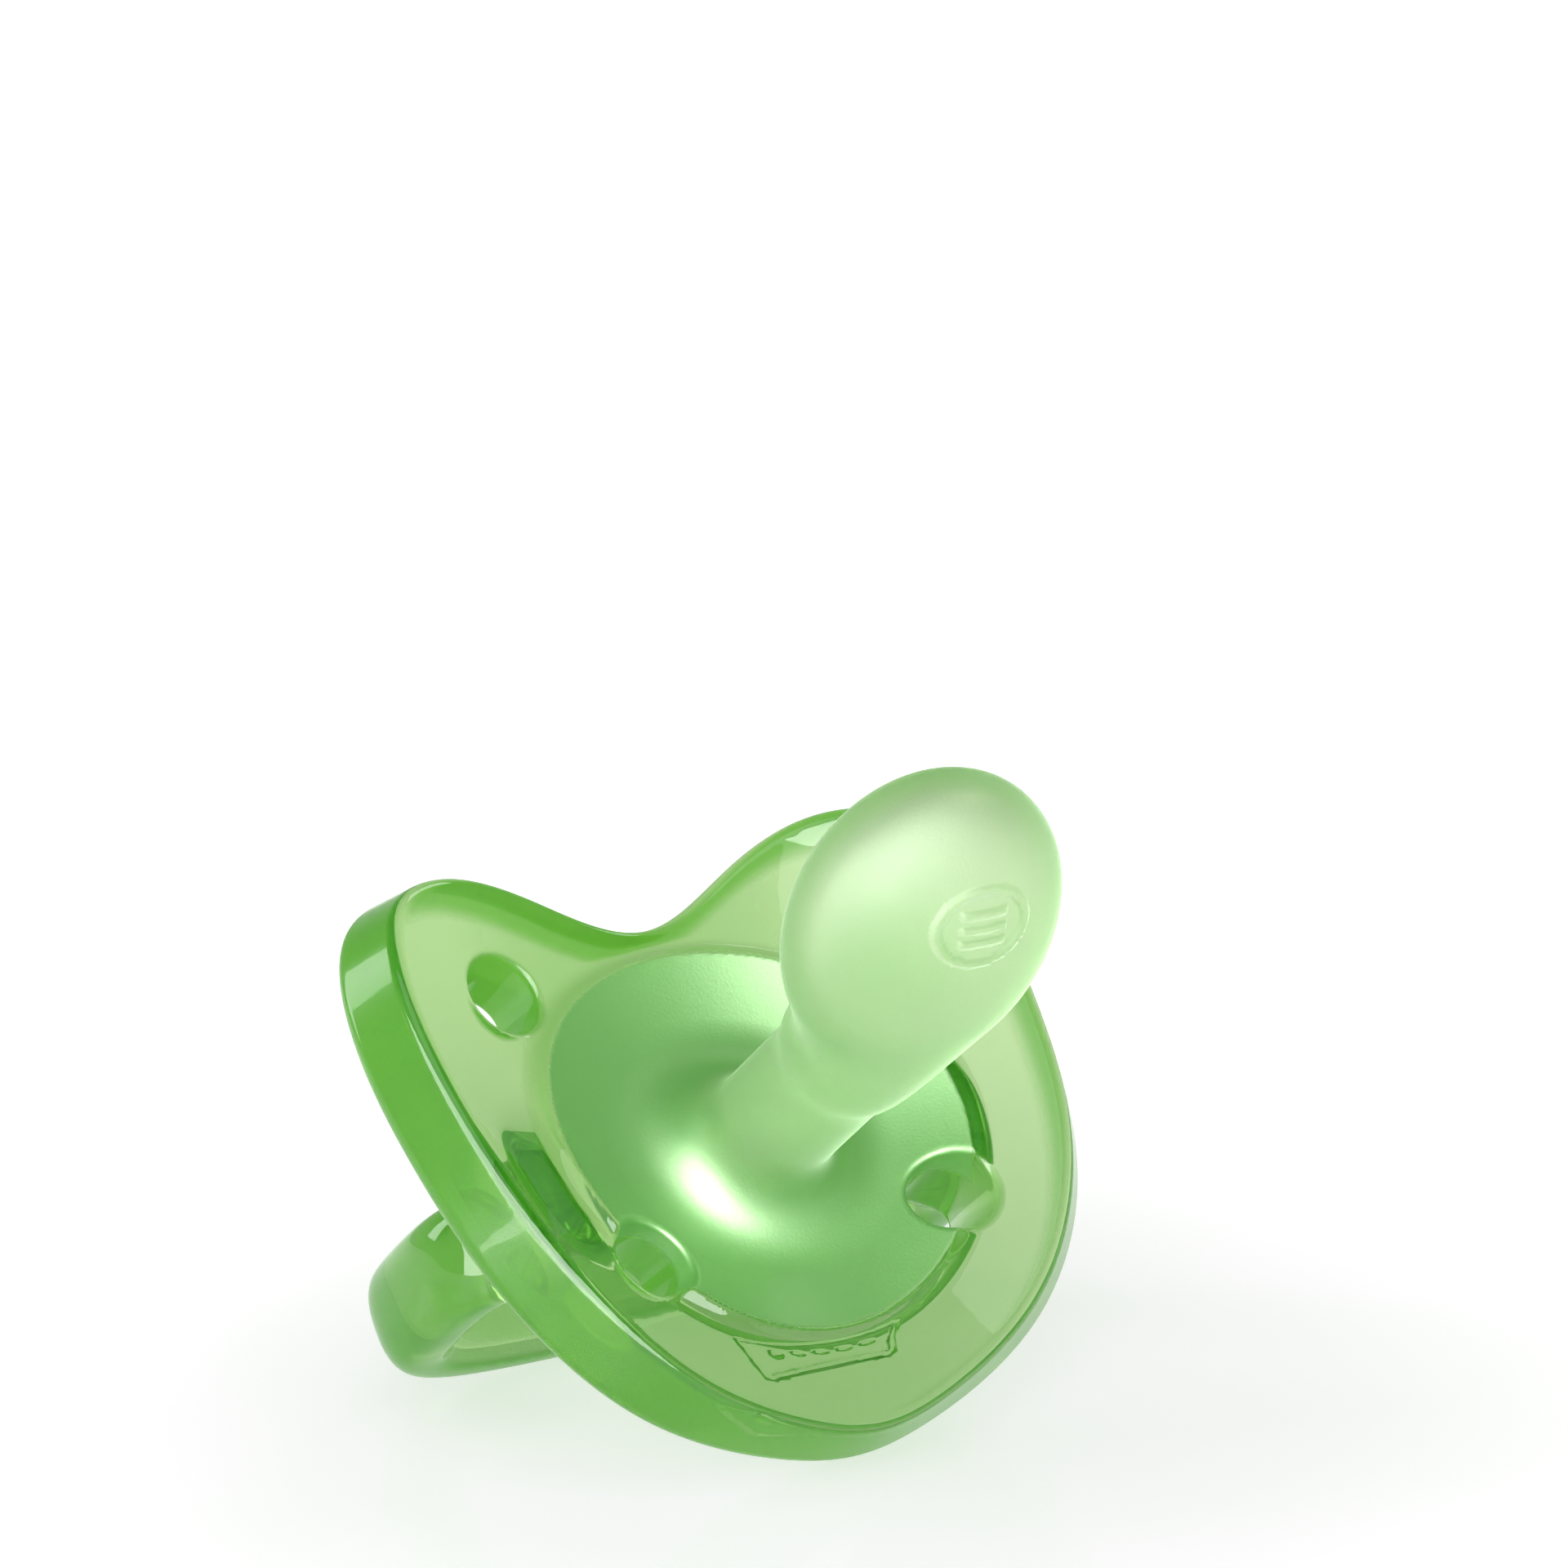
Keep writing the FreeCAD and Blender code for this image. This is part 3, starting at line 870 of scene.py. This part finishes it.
def silicone():
    """Cloudy green silicone, polished or satin, deeper in colour the further light runs inside."""
    material = bpy.data.materials.new("green_silicone")
    material.use_nodes = True
    n = Nodes(material.node_tree)
    path = n.add("ShaderNodeLightPath")
    backface = n.add("ShaderNodeNewGeometry").outputs["Backfacing"]
    outside = n.math("SUBTRACT", 1.0, backface)
    satin, dish, wall = [
        n.add("ShaderNodeAttribute", attribute_name=name).outputs["Fac"]
        for name in ("satin", "dish", "wall")]
    normal = fine_relief(n, satin)

    # light left after its run inside, and the share that the cloudiness has turned aside
    length = n.math("MULTIPLY", path.outputs["Ray Length"], backface)
    channels = n.add("ShaderNodeCombineColor")
    for socket, rate in zip(channels.inputs, ABSORPTION):
        n.feed(socket, n.math("EXPONENT", n.math("MULTIPLY", length, -rate)))
    clear_share = n.math("EXPONENT", n.math("MULTIPLY", length, -1.0 / CLOUD_LENGTH))
    glass = n.add("ShaderNodeBsdfGlass")
    glass.inputs["IOR"].default_value = SILICONE_IOR
    n.link(channels.outputs[0], glass.inputs["Color"])
    roughness = n.math("ADD", n.math("MULTIPLY", satin, SATIN_ROUGHNESS), POLISH_ROUGHNESS)
    n.link(roughness, glass.inputs["Roughness"])
    n.link(normal, glass.inputs["Normal"])
    skin = n.mix_shader(clear_share, cloud(n, CLOUD_COLOUR), glass.outputs[0])

    # side walls and vents look solid green under their polish
    share = n.math("ADD", WALL_SHARE[0], n.math("MULTIPLY", backface, WALL_SHARE[1]))
    solid = n.math("MULTIPLY", wall, share)
    skin = n.mix_shader(solid, skin, cloud(n, WALL_COLOUR))
    fresnel = n.add("ShaderNodeFresnel")
    fresnel.inputs["IOR"].default_value = SILICONE_IOR
    shine = n.math("MULTIPLY", solid, outside)
    skin = n.mix_shader(n.math("MULTIPLY", fresnel.outputs[0], shine), skin,
                        gloss(n, WALL_ROUGHNESS, normal))

    # satin skin: deep green in the dish, a pale bloom on the teat, a broad sheen on both
    skin = n.mix_shader(n.math("MULTIPLY", n.math("MULTIPLY", dish, outside), DISH_SHARE), skin,
                        cloud(n, DISH_COLOUR))
    bloom = n.add("ShaderNodeBsdfDiffuse")
    bloom.inputs["Color"].default_value = BLOOM_COLOUR
    teat_share = n.math("MULTIPLY", n.math("SUBTRACT", satin, dish, clamp=True), outside)
    skin = n.mix_shader(n.math("MULTIPLY", teat_share, BLOOM_SHARE), skin, bloom.outputs[0])
    sheen = n.math("ADD", n.math("MULTIPLY", satin, SHEEN_SHARE[0]),
                   n.math("MULTIPLY", dish, SHEEN_SHARE[1]))
    skin = n.mix_shader(n.math("MULTIPLY", sheen, outside), skin,
                        gloss(n, SHEEN_ROUGHNESS, normal, SHEEN_COLOUR))

    # shadows and light bounced off the table see through it, tinted
    through = n.add("ShaderNodeBsdfTransparent")
    through.inputs["Color"].default_value = SHADOW_TINT
    soft = n.math("MAXIMUM", path.outputs["Is Shadow Ray"], path.outputs["Is Diffuse Ray"])
    out = n.add("ShaderNodeOutputMaterial")
    n.link(n.mix_shader(soft, skin, through.outputs[0]), out.inputs["Surface"])
    return material


def hidden_seam(name, tint):
    """A clear face inside the silicone, where two pieces meet."""
    material = bpy.data.materials.new(name)
    material.use_nodes = True
    n = Nodes(material.node_tree)
    clear = n.add("ShaderNodeBsdfTransparent")
    clear.inputs["Color"].default_value = tint
    out = n.add("ShaderNodeOutputMaterial")
    n.link(clear.outputs[0], out.inputs["Surface"])
    return material


# painted light on the table: a weak glow near the object paints a shadow around it, a strong glow
# farther off stands in for the lamps' light
TABLE_GLOW_AND_PAINTED_SHADOW = (0.37, 0.80)                # strength near the object and far from it
PAINTED_SHADOW_REACH = (0.02, 0.11)                # metres over which it rises
TABLE_COLOUR = (0.9, 0.9, 0.9, 1.0)
TABLE_ROUGHNESS = 0.18
TABLE_POLISH = 0.10


def table_top():
    """Pale glossy table with painted light: a glow from within, dim near the object as a painted
    shadow around it, that fades to white farther off.
    """
    material = bpy.data.materials.new("pale_table")
    material.use_nodes = True
    n = Nodes(material.node_tree)
    place = n.add("ShaderNodeNewGeometry").outputs["Position"]
    reach = n.add("ShaderNodeVectorMath", operation="LENGTH")
    n.link(place, reach.inputs[0])
    # painted shadow: the glow is weakest close to the object and rises with distance from it
    ramp = n.add("ShaderNodeMapRange", interpolation_type="SMOOTHSTEP")
    n.link(reach.outputs["Value"], ramp.inputs["Value"])
    ramp.inputs["From Min"].default_value = PAINTED_SHADOW_REACH[0]
    ramp.inputs["From Max"].default_value = PAINTED_SHADOW_REACH[1]
    ramp.inputs["To Min"].default_value = TABLE_GLOW_AND_PAINTED_SHADOW[0]
    ramp.inputs["To Max"].default_value = TABLE_GLOW_AND_PAINTED_SHADOW[1]
    painted_glow = n.add("ShaderNodeEmission")
    n.link(ramp.outputs["Result"], painted_glow.inputs["Strength"])
    paint = n.add("ShaderNodeBsdfDiffuse")
    paint.inputs["Color"].default_value = TABLE_COLOUR
    polish = n.add("ShaderNodeBsdfGlossy")
    polish.inputs["Roughness"].default_value = TABLE_ROUGHNESS
    mixed = n.mix_shader(TABLE_POLISH, paint.outputs[0], polish.outputs[0])
    total = n.add("ShaderNodeAddShader")
    n.link(mixed, total.inputs[0])
    n.link(painted_glow.outputs[0], total.inputs[1])
    out = n.add("ShaderNodeOutputMaterial")
    n.link(total.outputs[0], out.inputs["Surface"])
    return material


# ---------------------------------------------------------------- studio

# places and sizes in metres, powers in watts
WORLD = (0.60, 0.12)                     # strength at the horizon and overhead
WORLD_RISE = (0.15, 0.75)                # upward part of the direction where it starts and ends
LIGHT_AIM = (0.0, 0.0, 0.02)
LIGHTS = (                               # name, place, size, power, sheen only
    ("key", (-0.10, -0.22, 0.46), (0.30, 0.30), 0.6),
    ("front", (-0.22, -0.25, 0.11), (0.20, 0.20), 0.5),
    ("front_sheen", (-0.22, -0.25, 0.13), (0.72, 0.50), 13.0, True),
    ("back_left", (-0.36, 0.30, 0.20), (0.14, 0.20), 0.6),
    ("rim_right", (0.30, 0.16, 0.34), (0.12, 0.12), 0.15),
)

CAMERA_PLACE = (-0.17166, -0.28390, 0.11837)
CAMERA_AIM = (0.00562, 0.00741, 0.03959)
CAMERA_ROLL = math.radians(-1.857)
CAMERA_LENS = 126.2


def soft_light(name, place, size, power, sheen_only=False):
    """A rectangular light aimed at the object; one for sheen alone is seen only in reflections."""
    light = bpy.data.lights.new(name, "AREA")
    light.shape = "RECTANGLE"
    light.size, light.size_y = size
    light.energy = power
    obj = bpy.data.objects.new(name, light)
    obj.location = place
    obj.rotation_mode = "QUATERNION"
    aim = Vector(LIGHT_AIM) - obj.location
    obj.rotation_quaternion = aim.to_track_quat("-Z", "Y")
    obj.visible_diffuse = not sheen_only
    obj.visible_transmission = not sheen_only
    bpy.context.scene.collection.objects.link(obj)


def white_room():
    """Surroundings that are bright at the horizon and darker overhead."""
    world = bpy.data.worlds.new("white_room")
    world.use_nodes = True
    n = Nodes(world.node_tree)
    sky = n.add("ShaderNodeBackground")
    sky.inputs["Color"].default_value = WHITE
    up = n.add("ShaderNodeSeparateXYZ")
    n.link(n.add("ShaderNodeTexCoord").outputs["Generated"], up.inputs[0])
    ramp = n.add("ShaderNodeMapRange", interpolation_type="SMOOTHSTEP")
    n.link(up.outputs["Z"], ramp.inputs["Value"])
    ramp.inputs["From Min"].default_value = WORLD_RISE[0]
    ramp.inputs["From Max"].default_value = WORLD_RISE[1]
    ramp.inputs["To Min"].default_value = WORLD[0]
    ramp.inputs["To Max"].default_value = WORLD[1]
    n.link(ramp.outputs["Result"], sky.inputs["Strength"])
    out = n.add("ShaderNodeOutputWorld")
    n.link(sky.outputs[0], out.inputs["Surface"])
    return world


def studio():
    """The room, the lights and the table."""
    scene = bpy.context.scene
    scene.world = white_room()
    scene.view_settings.view_transform = "Standard"
    for settings in LIGHTS:
        soft_light(*settings)

    bm = bmesh.new()
    bmesh.ops.create_grid(bm, x_segments=8, y_segments=8, size=4.0)
    mesh = bpy.data.meshes.new("table")
    bm.to_mesh(mesh)
    bm.free()
    table = bpy.data.objects.new("table", mesh)
    table.data.materials.append(table_top())
    scene.collection.objects.link(table)


def camera():
    """The camera, in front of the shield, to its left and a little above it."""
    data = bpy.data.cameras.new("camera")
    data.lens = CAMERA_LENS
    data.sensor_width = 36.0
    data.clip_start = 0.01
    obj = bpy.data.objects.new("camera", data)
    obj.location = CAMERA_PLACE
    aim = Vector(CAMERA_AIM) - obj.location
    obj.rotation_mode = "QUATERNION"
    roll = Quaternion((0.0, 0.0, 1.0), CAMERA_ROLL)
    obj.rotation_quaternion = aim.to_track_quat("-Z", "Y") @ roll
    bpy.context.scene.collection.objects.link(obj)
    bpy.context.scene.camera = obj


# ---------------------------------------------------------------- putting it together

def leg_point(height):
    """Place on the handle's mid line at a height in the shield frame."""
    _, y, z = turn_x(0.0, 1.0, height, -MOULD_TILT)
    return row_point(0.0, y, z)


def teat_point(height):
    """Place on the teat's axis at a height in the mould frame."""
    return row_point(0.0, DISH_CENTRE_Y, height)


def assemble():
    """Build the pieces, give them their looks, let the body ride on the shield and hide the CAD
    parts they replace.
    """
    pieces = make_pieces(*skin_mesh())
    materials = (silicone(), hidden_seam("silicone_seam", WHITE),
                 hidden_seam("leg_seam", LEG_TINT))
    for obj in pieces.values():
        for material in materials:
            obj.data.materials.append(material)

    body = pieces["soother_body"]
    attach(body, "shield")
    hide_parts("shield_flange", "dish_panel", "handle_foot_left", "handle_foot_right",
                "name_plate_frame")

    loop = pieces["finger_loop"]
    leg_point(LEG_BEND[0])
    leg_point(LEG_BEND[1])
    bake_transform(loop)
    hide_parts("handle_loop")

    neck = pieces["teat_neck_skin"]
    teat_point(NECK_BEND[0])
    teat_point(NECK_BEND[1])
    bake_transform(neck)
    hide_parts("teat_neck")

    bulb = pieces["teat_bulb_skin"]
    teat_point(BULB_BEND[0])
    teat_point(BULB_BEND[1])
    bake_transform(bulb)
    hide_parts("teat_bulb")


assemble()
studio()
camera()
